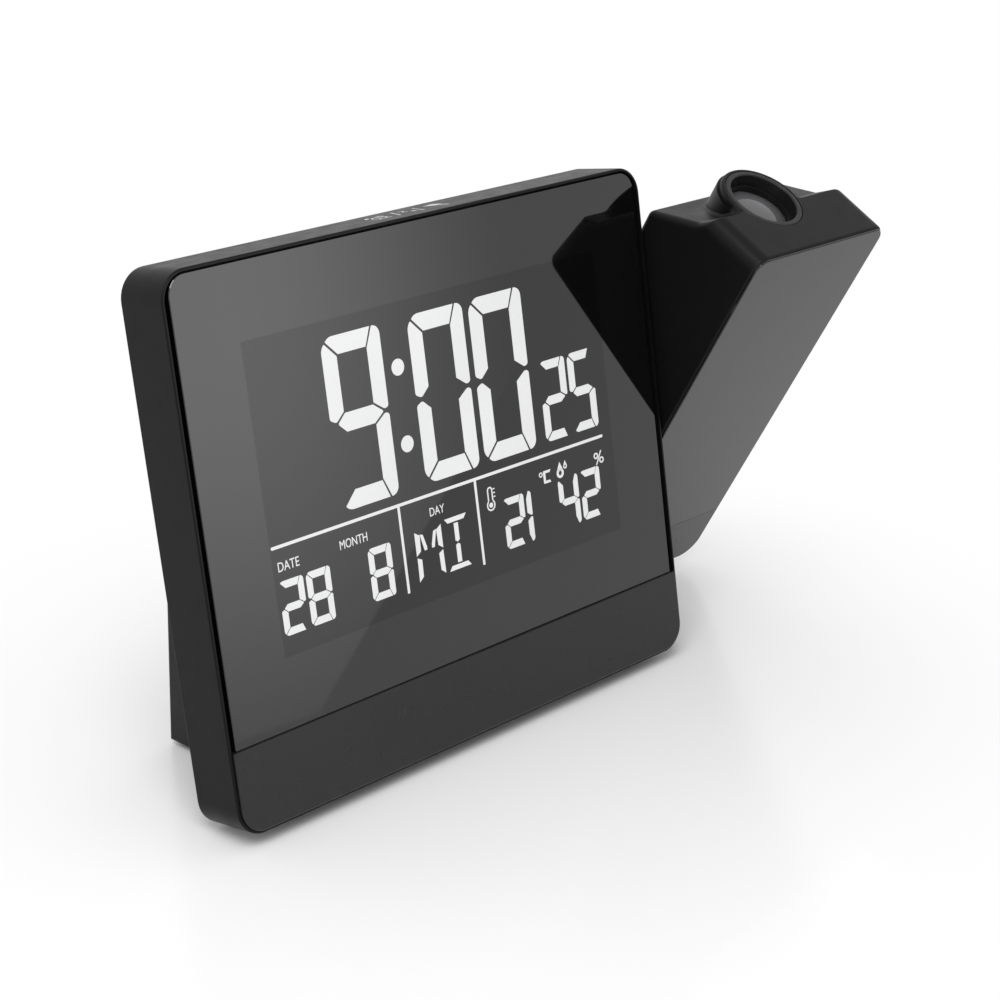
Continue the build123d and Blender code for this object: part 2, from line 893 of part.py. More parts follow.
def arm_profile(grow, roof):
    # The arm seen from the side, down to the level of the slab's foot.
    top = arm_top - roof
    depth = arm_depth - grow
    corner = arm_flat_depth - roof * 0.4
    valley = corner + step_depth
    face = side_profile([(grow, 0), (grow, top), (corner, top), (valley, top - step_drop),
                         (depth, top - step_drop - slope_drop), (depth, 0)])
    rounds = [(depth, top - step_drop - slope_drop, arm_back_round),
              (valley, top - step_drop, valley_round)]
    for y, z, radius in rounds:
        face = fillet(face.vertices().sort_by_distance((0, y, z))[0], radius)
    return face


def arm_solid(left, right, grow, roof):
    return Pos(left, 0, 0) * extrude(arm_profile(grow, roof), amount=right - left, dir=(1, 0, 0))


def arm_drum(grow):
    # The lower end is an arc about the pivot, clear of the table.
    centre = (arm_left + grow, pivot_depth, pivot_height)
    drum = rod(centre, (1, 0, 0), swing_radius - grow, arm_width - 2 * grow)
    drum = fillet(drum.edges().filter_by(GeomType.CIRCLE), arm_round_bottom - grow)
    return drum + block(arm_left + grow, arm_right - grow, 0, arm_depth, pivot_height, arm_top)


def arm_outer():
    solid = arm_solid(arm_left, arm_right, 0, 0)
    for side, radius in ((arm_left, arm_left_round), (arm_right, arm_right_round)):
        rear = edges_where(solid, lambda c: abs(c.X - side) < 0.01 and c.Z > pivot_height
                           and arm_flat_depth < c.Y < arm_depth - 0.01)
        solid = fillet(rear, radius)
    # Seen from the front, the top's corners are round.
    solid &= plate(arm_left, arm_right, -arm_top, arm_top, -1, arm_depth + 1, arm_round_top)
    return solid & arm_drum(0)


def add_boss(solid):
    # The lens boss: flush with the flat top in front, standing over the slope behind.
    boss = rod((lens_x, lens_depth, arm_top), (0, 0, -1), boss_radius, boss_depth)
    solid += fillet(edges_where(boss, lambda c: c.Z > arm_top - 0.01), boss_rim_round)
    foot = edges_where(solid, lambda c: abs(math.hypot(c.X - lens_x, c.Y - lens_depth)
                                            - boss_radius) < 0.05
                       and arm_top / 2 < c.Z < arm_top - boss_rim_round - 0.1)
    return fillet(foot, boss_foot_round)


def arm_post_spots():
    return [(x, z) for x in (arm_left + arm_post_inset, arm_right - arm_post_inset)
            for z in (arm_cover_low + arm_post_inset / 2, arm_cover_high - arm_post_inset / 2)]


arm_cover_face = arm_depth - wall


def arm_shell():
    solid = add_boss(arm_outer())
    solid = fillet(edges_where(solid, lambda c: c.Y < 0.01), arm_front_round)
    room = arm_solid(arm_left + wall, arm_right - wall, wall, arm_roof) & arm_drum(wall)
    room -= block(arm_left, arm_right, -1, glass_face, 0, body_height)
    room &= plate(arm_left + wall, arm_right - wall, arm_base + wall, arm_top - wall, 0,
                  arm_depth, arm_round_bottom - wall)
    solid -= room
    solid += rod((lens_x, lens_depth, arm_top - wall), (0, 0, -1), boss_radius + collar_thick,
                 ring_length)
    solid -= rod((lens_x, lens_depth, arm_top + 1), (0, 0, -1), ring_outer + running_gap,
                 boss_depth + 1)
    solid -= arm_sheet(arm_pocket_inset, -1, backing_face)
    opening = plate(arm_left + arm_cover_inset, arm_right - arm_cover_inset, arm_cover_low,
                    arm_cover_high, glass_face, arm_depth + 1, arm_cover_corner)
    solid -= opening - block(0, arm_right, 0, arm_depth - 2 * wall, 0, body_height)
    for x, z in arm_post_spots():
        solid += rod((x, backing_face, z), (0, 1, 0), arm_post_radius,
                     arm_cover_face - backing_face)
        solid -= rod((x, arm_depth / 2, z), (0, 1, 0), screw_radius + thread_gap, arm_depth)
    return solid - rod((arm_left - 1, pivot_depth, pivot_height), (1, 0, 0),
                       barrel_radius + thread_gap, wall + 2)


def front_corners(left, right, low, high, inset, y0, y1):
    # A front outline with the arm's own corner radii, less the inset.
    corners = [(left, low, arm_round_bottom), (right, low, arm_round_bottom),
               (right, high, arm_round_top), (left, high, arm_round_top)]
    face = make_face(Polyline(*[(x, y0, z) for x, z, r in corners], close=True))
    for x, z, radius in corners:
        spot = face.vertices().sort_by_distance((x, y0, z))[0]
        face = fillet(spot, radius - inset)
    return extrude(face, amount=y1 - y0, dir=(0, 1, 0))


def arm_sheet(inset, y0, y1):
    return front_corners(arm_left + inset, arm_right - inset, arm_base + inset,
                         arm_top - inset, inset, y0, y1)


def arm_front():
    # A plate that lies over the shell's front edge, with a thicker middle let into the shell.
    sheet = arm_sheet(arm_front_inset, -arm_front_proud, 0)
    sheet = chamfer(edges_where(sheet, lambda c: c.Y < 0.01 - arm_front_proud), strip_chamfer)
    return sheet + arm_sheet(arm_pocket_inset + strip_gap, 0, backing_face)


def arm_panel():
    return arm_front() - block(0, arm_right, -1, slab_depth, 0, seam_height + seam_gap / 2)


def arm_strip():
    return arm_front() - block(0, arm_right, -1, slab_depth, seam_height - seam_gap / 2,
                               body_height)


def arm_rear_cover():
    lid = plate(arm_left + arm_cover_inset + cover_gap, arm_right - arm_cover_inset - cover_gap,
                arm_cover_low + cover_gap, arm_cover_high - cover_gap, arm_cover_face, arm_depth,
                arm_cover_corner - cover_gap)
    for z in (arm_cover_high - rib_inset, arm_top - lamp_drop + rib_inset):
        rib = block(lens_x - rib_half, lens_x + rib_half, lens_depth, arm_depth - wall / 2,
                    z - rib_thick / 2, z + rib_thick / 2)
        lid += rib - rod((lens_x, lens_depth, z - rib_thick), (0, 0, 1), tube_outer,
                         2 * rib_thick)
    for x, z in arm_post_spots():
        lid -= rod((x, 0, z), (0, 1, 0), screw_radius + screw_hole_gap, arm_depth + 1)
        lid -= rod((x, arm_depth - head_sunk, z), (0, 1, 0), screw_head_radius + head_gap, 1)
    return lid


def arm_screws():
    return Compound(children=[screw((x, arm_depth - head_sunk, z), (0, -1, 0), screw_length)
                              for x, z in arm_post_spots()])


# ---------------------------------------------------------------- projector

def down_ring(drop, outer, inner, length):
    return ring((lens_x, lens_depth, arm_top - drop), (0, 0, -1), outer, inner, length)


def focus_ring():
    body = down_ring(0, ring_outer, ring_bore, ring_length)
    top = edges_where(body, lambda c: c.Z > arm_top - 0.01)
    return fillet(top, ring_rim_round)


def lens_holder():
    outer = ring_bore - running_gap
    body = down_ring(holder_drop, outer, outer - holder_wall, holder_length)
    lens_radius = outer - holder_wall
    ball = (lens_radius ** 2 + lens_bulge ** 2) / (2 * lens_bulge)
    seat_inner = lens_radius - seat_width
    sag = math.sqrt(ball ** 2 - seat_inner ** 2) - (ball - lens_bulge)
    seat = down_ring(lens_edge_drop + lens_edge_thick + sag, outer - holder_wall / 2,
                     seat_inner, seat_thick)
    return body + seat


def bulged_disc(drop, radius, edge, bulge):
    # A lens that is curved on both sides.
    ball = (radius ** 2 + bulge ** 2) / (2 * bulge)
    centre = Pos(lens_x, lens_depth, arm_top - drop - edge / 2)
    upper = centre * Pos(0, 0, edge / 2 + bulge - ball) * Sphere(ball)
    lower = centre * Pos(0, 0, ball - edge / 2 - bulge) * Sphere(ball)
    barrel = centre * Cylinder(radius, edge + 2 * bulge)
    return barrel & upper & lower


def projection_lens():
    radius = ring_bore - running_gap - holder_wall
    return bulged_disc(lens_edge_drop, radius - thread_gap, lens_edge_thick, lens_bulge)


def optics_tube():
    return down_ring(tube_top_drop, tube_outer, tube_inner, tube_length)


def lamp_square(side, low, high):
    # A square block about the lens's axis, between two drops below the arm's top.
    half = side / 2
    return block(lens_x - half, lens_x + half, lens_depth - half, lens_depth + half,
                 arm_top - low, arm_top - high)


def projection_display():
    top = lamp_drop - slide_from_lamp
    return lamp_square(2 * tube_inner / math.sqrt(2), top + slide_thick, top)


def condenser_lens():
    return bulged_disc(lamp_drop - condenser_from_lamp + condenser_bulge, tube_inner - thread_gap,
                       condenser_edge, condenser_bulge)


def lamp_board():
    return lamp_square(lamp_board_side, lamp_drop + board_thick, lamp_drop)


def lamp_led():
    body = lamp_square(lamp_size, lamp_drop, lamp_drop - lamp_height / 2)
    dome = Pos(lens_x, lens_depth, arm_top - lamp_drop + lamp_height / 2) * Sphere(lamp_size * 0.45)
    below = lamp_square(2 * lamp_size, lamp_drop + lamp_size, lamp_drop)
    return body + (dome - below)


def lamp_plug():
    left = lamp_plug_left()
    half = lamp_plug_depth / 2
    return block(left, left + lamp_plug_width, pivot_depth - half, pivot_depth + half,
                 pivot_height - lamp_plug_below, arm_top - lamp_drop - board_thick)


# ---------------------------------------------------------------- putting it together

def lean(shape):
    return Rot(X=-lean_angle) * shape


def swing(shape):
    return (Pos(0, pivot_depth, pivot_height) * Rot(X=swing_angle)
            * Pos(0, -pivot_depth, -pivot_height) * shape)


key_names = ["clock_key", "alarm_key", "sensor_key", "light_key", "plus_key", "minus_key"]

clock_makers = [
    housing_frame, front_panel, front_strip, display_glass, light_guide, backlight_board,
    reflector_tray, zebra_strips, main_board, board_chips, quartz_crystal, touch_strip, buzzer,
    ferrite_rod, antenna_coil, room_sensor, projector_plug, rear_cover, cover_screws,
    battery_door, battery_cells, battery_contacts, key_board, key_switches, socket_board,
    dc_jack, usb_socket, usb_tongue, board_leads, front_feet, rear_feet]

arm_makers = [
    arm_shell, arm_panel, arm_strip, arm_rear_cover, arm_screws, pivot_barrel, retaining_clip,
    wave_washer, friction_washer, projector_lead, lamp_plug, focus_ring, lens_holder,
    projection_lens, optics_tube, projection_display, condenser_lens, lamp_board, lamp_led]

pieces = {}
for make in clock_makers:
    pieces[make.__name__] = lean(make())
for index, name in enumerate(key_names):
    pieces[name] = lean(key_cap(index))
for make in arm_makers:
    pieces[make.__name__] = lean(swing(make()))

# The origin is on the table, under the middle of the whole clock.
extent = Compound(list(pieces.values())).bounding_box()
centre = extent.center()
shift = Pos(-centre.X, -centre.Y, -extent.min.Z)


def place(point):
    # A point of the upright frame, as it lies in the finished clock.
    return (shift * Rot(X=-lean_angle) * Pos(*point)).position


for name, shape in pieces.items():
    export_step(shift * shape, f"parts/{name}.step")
    print("wrote", name)

print("size", extent.size)
print("pivot", place((arm_left, pivot_depth, pivot_height)))
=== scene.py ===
import json
import math

import bmesh
import bpy
from mathutils import Matrix, Vector


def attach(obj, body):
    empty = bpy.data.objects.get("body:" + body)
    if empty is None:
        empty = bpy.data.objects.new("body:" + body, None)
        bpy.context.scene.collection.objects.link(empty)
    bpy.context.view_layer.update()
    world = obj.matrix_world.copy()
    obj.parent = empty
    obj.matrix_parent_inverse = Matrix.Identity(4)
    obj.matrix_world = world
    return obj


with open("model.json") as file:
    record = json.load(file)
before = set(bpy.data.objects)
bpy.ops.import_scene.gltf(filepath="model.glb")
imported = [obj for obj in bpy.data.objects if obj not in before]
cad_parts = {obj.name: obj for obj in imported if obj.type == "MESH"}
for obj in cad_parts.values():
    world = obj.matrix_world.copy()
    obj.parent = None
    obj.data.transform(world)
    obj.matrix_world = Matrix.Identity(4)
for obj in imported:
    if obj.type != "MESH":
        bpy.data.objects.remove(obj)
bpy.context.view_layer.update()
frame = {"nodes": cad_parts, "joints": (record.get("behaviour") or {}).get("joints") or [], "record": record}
print("frame loaded with", len(frame["nodes"]), "nodes")

mm = 0.001
scene = bpy.context.scene

# how the clock stands: a slab that leans back on a foot, with the arm's pivot at its right edge;
# sizes in mm, angles in degrees
build = {
    "lean": 8.94,
    "slabWidth": 142.4,
    "slabHeight": 120.0,
    "slabDepth": 13.8,
    "armGap": 0.8,
    "pivotHeight": 60.0,
    "footReach": 38.6,
    "footBackAngle": 11.35,
    "panelSunk": 0.1,
    "windowSide": 17.95,
    "windowBottom": 34.9,
    "windowFromTop": 17.4,
}


def turned(degrees, axis):
    return Matrix.Rotation(math.radians(degrees), 4, axis)


def moved(x, y, z):
    return Matrix.Translation(Vector((x, y, z)) * mm)


# the slab's own frame: X across, Y into the slab, Z up its face, zero at the lower left corner
armSwing = next(joint for joint in frame["joints"] if joint["name"] == "arm_swing")
pivotAcross = build["slabWidth"] + build["armGap"] / 2
pivotOnSlab = Vector((pivotAcross, build["slabDepth"], build["pivotHeight"])) * mm
leanTurn = turned(-build["lean"], "X")
slabFrame = Matrix.Translation(Vector(armSwing["pos_m"]) - leanTurn @ pivotOnSlab) @ leanTurn
# drawings on the front panel: X across, Y up, Z towards the viewer
faceFrame = slabFrame @ moved(0, build["panelSunk"], 0) @ turned(90, "X")
# drawings on the top edge: X across, Y to the back, Z up
topFrame = slabFrame @ moved(0, 0, build["slabHeight"])
# drawings on the foot's back wall: X across to the left, Y up, Z out of the wall
footBase = build["footReach"] * math.tan(math.radians(build["lean"]))
wallFrame = (slabFrame @ moved(0, build["slabDepth"] + build["footReach"], footBase)
             @ turned(build["footBackAngle"], "X") @ turned(180, "Z") @ turned(90, "X"))

# a noise's values mostly lie between these, for a range of numbers and for a ramp of colours
noiseSpan = {"numbers": (0.3, 0.7), "colors": (0.32, 0.68)}
shaderSockets = {"roughness": "Roughness", "specular": "Specular IOR Level", "metallic": "Metallic",
                 "glow": "Emission Strength"}


def addNode(material, kind, **values):
    node = material.node_tree.nodes.new(kind)
    for key, value in values.items():
        setattr(node, key, value)
    return node


def join(material, source, target):
    material.node_tree.links.new(source, target)


def times(material, first, second):
    product = addNode(material, "ShaderNodeMath", operation="MULTIPLY")
    join(material, first, product.inputs[0])
    join(material, second, product.inputs[1])
    return product.outputs["Value"]


def shaderOf(material):
    return material.node_tree.nodes["Principled BSDF"]


def newMaterial(name, color=None, **values):
    # what is given here is the same all over the piece; the rest comes from nodes
    material = bpy.data.materials.new(name)
    material.use_nodes = True
    shader = shaderOf(material)
    if color:
        shader.inputs["Base Color"].default_value = (*color, 1)
    for word, value in values.items():
        shader.inputs[shaderSockets[word]].default_value = value
    return material


def objectCoordinates(material):
    found = material.node_tree.nodes.get("Texture Coordinate")
    if found is None:
        found = addNode(material, "ShaderNodeTexCoord")
    return found.outputs["Object"]


def grain(material, scale, detail, stretch=(1, 1, 1)):
    # a noise over the piece's own place, finer with a larger scale
    noise = addNode(material, "ShaderNodeTexNoise")
    noise.inputs["Scale"].default_value = scale
    noise.inputs["Detail"].default_value = detail
    mapping = addNode(material, "ShaderNodeMapping")
    mapping.inputs["Scale"].default_value = stretch
    join(material, objectCoordinates(material), mapping.inputs["Vector"])
    join(material, mapping.outputs["Vector"], noise.inputs["Vector"])
    return noise.outputs["Fac"]


def roughen(material, value, low, high):
    spread = addNode(material, "ShaderNodeMapRange")
    spread.inputs["From Min"].default_value, spread.inputs["From Max"].default_value = noiseSpan["numbers"]
    spread.inputs["To Min"].default_value = low
    spread.inputs["To Max"].default_value = high
    join(material, value, spread.inputs["Value"])
    join(material, spread.outputs["Result"], shaderOf(material).inputs["Roughness"])


def tint(material, value, dark, light):
    ramp = addNode(material, "ShaderNodeValToRGB")
    for stop, place, color in zip(ramp.color_ramp.elements, noiseSpan["colors"], (dark, light)):
        stop.position = place
        stop.color = (*color, 1)
    join(material, value, ramp.inputs["Fac"])
    join(material, ramp.outputs["Color"], shaderOf(material).inputs["Base Color"])
    return ramp.outputs["Color"]


def emboss(material, value, strength, distance):
    # distance is the depth of the relief, in mm
    bump = addNode(material, "ShaderNodeBump")
    bump.inputs["Strength"].default_value = strength
    bump.inputs["Distance"].default_value = distance * mm
    join(material, value, bump.inputs["Height"])
    join(material, bump.outputs["Normal"], shaderOf(material).inputs["Normal"])


def caseGlossMaterial():
    # satin moulded plastic, barely mottled
    material = newMaterial("case_gloss", color=(0.0045, 0.0045, 0.0048), specular=0.12)
    roughen(material, grain(material, scale=240, detail=4), low=0.36, high=0.44)
    emboss(material, grain(material, scale=2600, detail=2), strength=0.1, distance=0.02)
    return material


def caseMatteMaterial():
    material = newMaterial("case_matte", specular=0.2)
    tint(material, grain(material, scale=60, detail=4), dark=(0.008, 0.008, 0.0085),
         light=(0.012, 0.012, 0.0125))
    roughen(material, grain(material, scale=500, detail=4), low=0.48, high=0.55)
    emboss(material, grain(material, scale=3200, detail=2), strength=0.35, distance=0.06)
    return material


def inWindow(material):
    # 1 inside the display's window, 0 on the printed border round it
    slabPlace = addNode(material, "ShaderNodeMapping", vector_type="TEXTURE")
    slabPlace.inputs["Location"].default_value = slabFrame.to_translation()
    slabPlace.inputs["Rotation"].default_value = slabFrame.to_euler()
    join(material, objectCoordinates(material), slabPlace.inputs["Vector"])
    split = addNode(material, "ShaderNodeSeparateXYZ")
    join(material, slabPlace.outputs["Vector"], split.inputs["Vector"])
    tests = [("X", "GREATER_THAN", build["windowSide"]),
             ("X", "LESS_THAN", build["slabWidth"] - build["windowSide"]),
             ("Z", "GREATER_THAN", build["windowBottom"]),
             ("Z", "LESS_THAN", build["slabHeight"] - build["windowFromTop"])]
    inside = None
    for axis, operation, limit in tests:
        test = addNode(material, "ShaderNodeMath", operation=operation)
        join(material, split.outputs[axis], test.inputs[0])
        test.inputs[1].default_value = limit * mm
        inside = test.outputs["Value"] if inside is None else times(material, inside, test.outputs["Value"])
    return inside


def frontAcrylicMaterial():
    # polished dark acrylic; the display's window throws back a little less light than its border
    material = newMaterial("front_acrylic", specular=0.64)
    shades = {"Base Color": (0.0022, 0.0014), "Specular Tint": (1.0, 0.82)}
    inside = inWindow(material)
    for socket, (border, window) in shades.items():
        shade = addNode(material, "ShaderNodeMapRange")
        shade.inputs["To Min"].default_value = border
        shade.inputs["To Max"].default_value = window
        join(material, inside, shade.inputs["Value"])
        join(material, shade.outputs["Result"], shaderOf(material).inputs[socket])
    roughen(material, grain(material, scale=35, detail=5), low=0.02, high=0.05)
    return material


def armAcrylicMaterial():
    # the arm's panel, a shade paler and less polished
    material = newMaterial("arm_acrylic", color=(0.009, 0.009, 0.0095), specular=0.36)
    roughen(material, grain(material, scale=35, detail=5), low=0.03, high=0.08)
    return material


def stripMaterial():
    # the satin strips below the panels
    material = newMaterial("front_strip", color=(0.01, 0.01, 0.0105), specular=0.33)
    roughen(material, grain(material, scale=400, detail=4), low=0.2, high=0.28)
    return material


def displayGlassMaterial():
    material = newMaterial("display_glass", color=(0.02, 0.02, 0.022))
    roughen(material, grain(material, scale=50, detail=3), low=0.03, high=0.08)
    return material


def plainPlastic(name, dark, light, low, high, scale=400, bumpScale=2400, bump=0.1):
    # a moulded plastic with a fine skin, and in its colour a faint mottle four times as coarse
    material = newMaterial(name)
    tint(material, grain(material, scale / 4, detail=3), dark, light)
    roughen(material, grain(material, scale, detail=3), low, high)
    emboss(material, grain(material, bumpScale, detail=2), bump, distance=0.03)
    return material


def circuitBoardMaterial():
    # green lacquer with paler tracks
    board = {"Scale": 260, "Color1": (0.015, 0.1, 0.04, 1), "Color2": (0.02, 0.14, 0.055, 1),
             "Mortar": (0.04, 0.22, 0.09, 1), "Mortar Size": 0.03}
    material = newMaterial("circuit_board")
    tracks = addNode(material, "ShaderNodeTexBrick")
    for socket, value in board.items():
        tracks.inputs[socket].default_value = value
    join(material, objectCoordinates(material), tracks.inputs["Vector"])
    join(material, tracks.outputs["Color"], shaderOf(material).inputs["Base Color"])
    roughen(material, grain(material, scale=500, detail=3), low=0.28, high=0.42)
    return material


def steelMaterial():
    # plated and brushed a little, along one direction
    brushed = (1, 0.1, 1)
    material = newMaterial("plated_steel", metallic=1.0)
    tint(material, grain(material, scale=900, detail=3), dark=(0.5, 0.5, 0.51), light=(0.66, 0.66, 0.67))
    roughen(material, grain(material, scale=1600, detail=3, stretch=brushed), low=0.22, high=0.42)
    emboss(material, grain(material, scale=4000, detail=2, stretch=brushed), strength=0.15, distance=0.01)
    return material


def copperMaterial():
    material = newMaterial("copper", roughness=0.3, metallic=1.0)
    windings = addNode(material, "ShaderNodeTexWave", bands_direction="X")
    windings.inputs["Scale"].default_value = 900
    windings.inputs["Distortion"].default_value = 1.2
    join(material, objectCoordinates(material), windings.inputs["Vector"])
    tint(material, windings.outputs["Fac"], dark=(0.5, 0.2, 0.1), light=(0.8, 0.4, 0.24))
    emboss(material, windings.outputs["Fac"], strength=0.6, distance=0.08)
    return material


def rubberMaterial(name, color):
    material = newMaterial(name, color, specular=0.3)
    roughen(material, grain(material, scale=900, detail=4), low=0.62, high=0.85)
    emboss(material, grain(material, scale=2500, detail=3), strength=0.4, distance=0.05)
    return material


def cellJacketMaterial():
    material = newMaterial("cell_jacket")
    tint(material, grain(material, scale=80, detail=3), dark=(0.06, 0.13, 0.26), light=(0.1, 0.19, 0.34))
    roughen(material, grain(material, scale=300, detail=3), low=0.16, high=0.3)
    return material


def ringMaterial():
    material = newMaterial("ring_black", color=(0.007, 0.007, 0.0075), specular=0.25)
    roughen(material, grain(material, scale=700, detail=3), low=0.28, high=0.42)
    emboss(material, grain(material, scale=2800, detail=2), strength=0.15, distance=0.02)
    return material


def lensMaterial():
    # coated glass over a dark tube
    material = newMaterial("lens_glass", color=(0.092, 0.092, 0.096))
    roughen(material, grain(material, scale=60, detail=3), low=0.06, high=0.14)
    return material


def litSegmentMaterial():
    # the display's lit segments, white, with a faint unevenness of the lamp behind them
    material = newMaterial("lit_segments", glow=0.5)
    lamp = tint(material, grain(material, scale=30, detail=2), dark=(0.5, 0.503, 0.505),
                light=(0.53, 0.532, 0.535))
    join(material, lamp, shaderOf(material).inputs["Emission Color"])
    roughen(material, grain(material, scale=200, detail=2), low=0.3, high=0.4)
    return material


def printMaterial():
    material = newMaterial("pale_print")
    tint(material, grain(material, scale=800, detail=3), dark=(0.5, 0.5, 0.5), light=(0.64, 0.64, 0.64))
    roughen(material, grain(material, scale=900, detail=3), low=0.4, high=0.6)
    return material


# the finish of each material slot in the record
materials = {
    "case_gloss": caseGlossMaterial(),
    "case_matte": caseMatteMaterial(),
    "front_glass": frontAcrylicMaterial(),
    "display_glass": displayGlassMaterial(),
    "clear_plastic": plainPlastic("clear_guide", dark=(0.7, 0.73, 0.76), light=(0.8, 0.82, 0.85),
                                  low=0.08, high=0.16),
    "white_plastic": plainPlastic("white_plastic", dark=(0.68, 0.68, 0.66), light=(0.78, 0.78, 0.76),
                                  low=0.35, high=0.5),
    "circuit_board": circuitBoardMaterial(),
    "chip_black": plainPlastic("chip_black", dark=(0.02, 0.02, 0.02), light=(0.035, 0.035, 0.036),
                               low=0.4, high=0.6),
    "steel": steelMaterial(),
    "copper": copperMaterial(),
    "ferrite": plainPlastic("ferrite", dark=(0.04, 0.04, 0.042), light=(0.07, 0.07, 0.073),
                            low=0.4, high=0.6, scale=900, bumpScale=1800, bump=0.3),
    "cell_jacket": cellJacketMaterial(),
    "contact_rubber": rubberMaterial("contact_rubber", color=(0.1, 0.1, 0.1)),
    "wire_black": rubberMaterial("wire_black", color=(0.02, 0.02, 0.02)),
    "foot_rubber": rubberMaterial("foot_rubber", color=(0.025, 0.025, 0.026)),
    "key_plastic": plainPlastic("key_plastic", dark=(0.03, 0.03, 0.032), light=(0.042, 0.042, 0.044),
                                low=0.42, high=0.55),
    "ring_black": ringMaterial(),
    "lens_glass": lensMaterial(),
}
litSegments = litSegmentMaterial()
palePrint = printMaterial()
stripFinish = stripMaterial()
# nodes with a finish of their own inside their slot
ownFinishes = {"arm_panel": armAcrylicMaterial(), "front_strip": stripFinish, "arm_strip": stripFinish}

for entry in frame["record"]["subparts"]:
    node = frame["nodes"][entry["node"]]
    node.data.materials.clear()
    node.data.materials.append(ownFinishes.get(entry["node"], materials[entry["material_slot"]]))
print("materials given to", len(frame["nodes"]), "nodes")

# how far marks stand out of their surface and reach into it, in mm
litLevels = (0.05, 0.05)
printLevels = (0.02, 0.05)
sameCorner = 0.001  # corners closer than this, in mm, are made one


def finishPiece(bm, name, place, material, body):
    bmesh.ops.remove_doubles(bm, verts=bm.verts, dist=sameCorner * mm)
    bmesh.ops.recalc_face_normals(bm, faces=bm.faces)
    mesh = bpy.data.meshes.new(name)
    bm.to_mesh(mesh)
    bm.free()
    mesh.transform(place)
    mesh.materials.append(material)
    piece = bpy.data.objects.new(name, mesh)
    scene.collection.objects.link(piece)
    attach(piece, body)


def litPiece(bm, name):
    finishPiece(bm, name, faceFrame, litSegments, "clock_body")


def printPiece(bm, name, place, body="clock_body"):
    finishPiece(bm, name, place, palePrint, body)


def thicken(bm, face, height):
    grown = bmesh.ops.extrude_face_region(bm, geom=[face], use_keep_orig=True)
    tops = [item for item in grown["geom"] if isinstance(item, bmesh.types.BMVert)]
    bmesh.ops.translate(bm, verts=tops, vec=(0, 0, height * mm))


def addShape(bm, corners, levels=litLevels):
    # a flat shape made a thin plate; sizes in mm, each corner (x, y) or (x, y, round)
    raised, sunk = levels
    verts = [bm.verts.new((corner[0] * mm, corner[1] * mm, -sunk * mm)) for corner in corners]
    bm.faces.new(verts)
    for vert, corner in zip(list(verts), corners):
        if len(corner) > 2 and corner[2]:
            bmesh.ops.bevel(bm, geom=[vert], offset=corner[2] * mm, offset_type="OFFSET", segments=6,
                            profile=0.5, affect="VERTICES", material=-1)
    bm.faces.ensure_lookup_table()
    thicken(bm, bm.faces[-1], raised + sunk)


def addBar(bm, x0, x1, y0, y1, radius=0.0, levels=litLevels):
    addShape(bm, [(x0, y0, radius), (x1, y0, radius), (x1, y1, radius), (x0, y1, radius)], levels)


def addStroke(bm, start, end, width):
    # a printed line from start to end
    start, end = Vector(start), Vector(end)
    along = (end - start).normalized()
    side = Vector((-along.y, along.x)) * width / 2
    addShape(bm, [start - side, end - side, end + side, start + side], printLevels)


def addDot(bm, x, y, radius, levels=litLevels, segments=32):
    raised, sunk = levels
    made = bmesh.ops.create_circle(bm, cap_ends=True, radius=radius * mm, segments=segments,
                                   matrix=Matrix.Translation((x * mm, y * mm, -sunk * mm)))
    thicken(bm, made["verts"][0].link_faces[0], raised + sunk)


def addHoop(bm, x, y, outer, inner, levels=litLevels, start=0, sweep=360, segments=32):
    # a flat ring or part of one, spun from its cross-section
    raised, sunk = levels
    begin = math.radians(start)
    across, up = math.cos(begin), math.sin(begin)
    corners = [(inner, -sunk), (outer, -sunk), (outer, raised), (inner, raised)]
    verts = [bm.verts.new(((x + r * across) * mm, (y + r * up) * mm, z * mm)) for r, z in corners]
    edges = [bm.edges.new((verts[i], verts[(i + 1) % 4])) for i in range(4)]
    full = sweep == 360
    done = bmesh.ops.spin(bm, geom=verts + edges, cent=(x * mm, y * mm, 0), axis=(0, 0, 1),
                          angle=math.radians(sweep), steps=segments, use_merge=full)
    if not full:
        bmesh.ops.contextual_create(bm, geom=edges)
        last = [item for item in done["geom_last"] if isinstance(item, bmesh.types.BMEdge)]
        bmesh.ops.contextual_create(bm, geom=last)


segmentsOf = {"0": "abcdef", "1": "bc", "2": "abged", "4": "fgbc", "5": "afgcd", "8": "abcdefg",
              "9": "abcdfg"}
# the three sizes of digit: gap is the space between two bars, corner the cut of the outer corners
digitSizes = {
    "big": {"height": 37.7, "width": 16.8, "stroke": 4.1, "gap": 0.55, "corner": 3.4},
    "middle": {"height": 18.9, "width": 8.6, "stroke": 2.1, "gap": 0.35, "corner": 1.68},
    "small": {"height": 11.9, "width": 6.75, "stroke": 1.62, "gap": 0.2, "corner": 1.215},
}
# the ends of the bars: slant is a share of the gap, cornerCut and cornerRound shares of the corner,
# the others shares of the stroke
barEnds = {"slant": 0.7, "cornerCut": 0.293, "cornerRound": 0.4, "topCut": 0.58, "tipLeft": 0.42,
           "tipRight": 0.27, "tipRound": 0.12, "footLeft": 0.3, "footRight": 0.2, "rightRound": 0.5}
# each piece's digits, their size, how high they stand and their left sides
timeDigits = {
    "hour_digit": ("9", "big", 61.26, (38.55,)),
    "ten_minute_digit": ("0", "big", 61.26, (63.55,)),
    "minute_digit": ("0", "big", 61.26, (82.15,)),
}
otherDigits = {
    "second_digits": ("25", "middle", 61.47, (102.3, 111.8)),
    "date_digits": ("28", "small", 39.35, (18.85, 26.35)),
    "month_digit": ("8", "small", 39.6, (44.1,)),
    "indoor_digits": ("21", "small", 39.95, (86.0, 88.45)),
    "humidity_digits": ("42", "small", 40.1, (104.45, 112.05)),
}


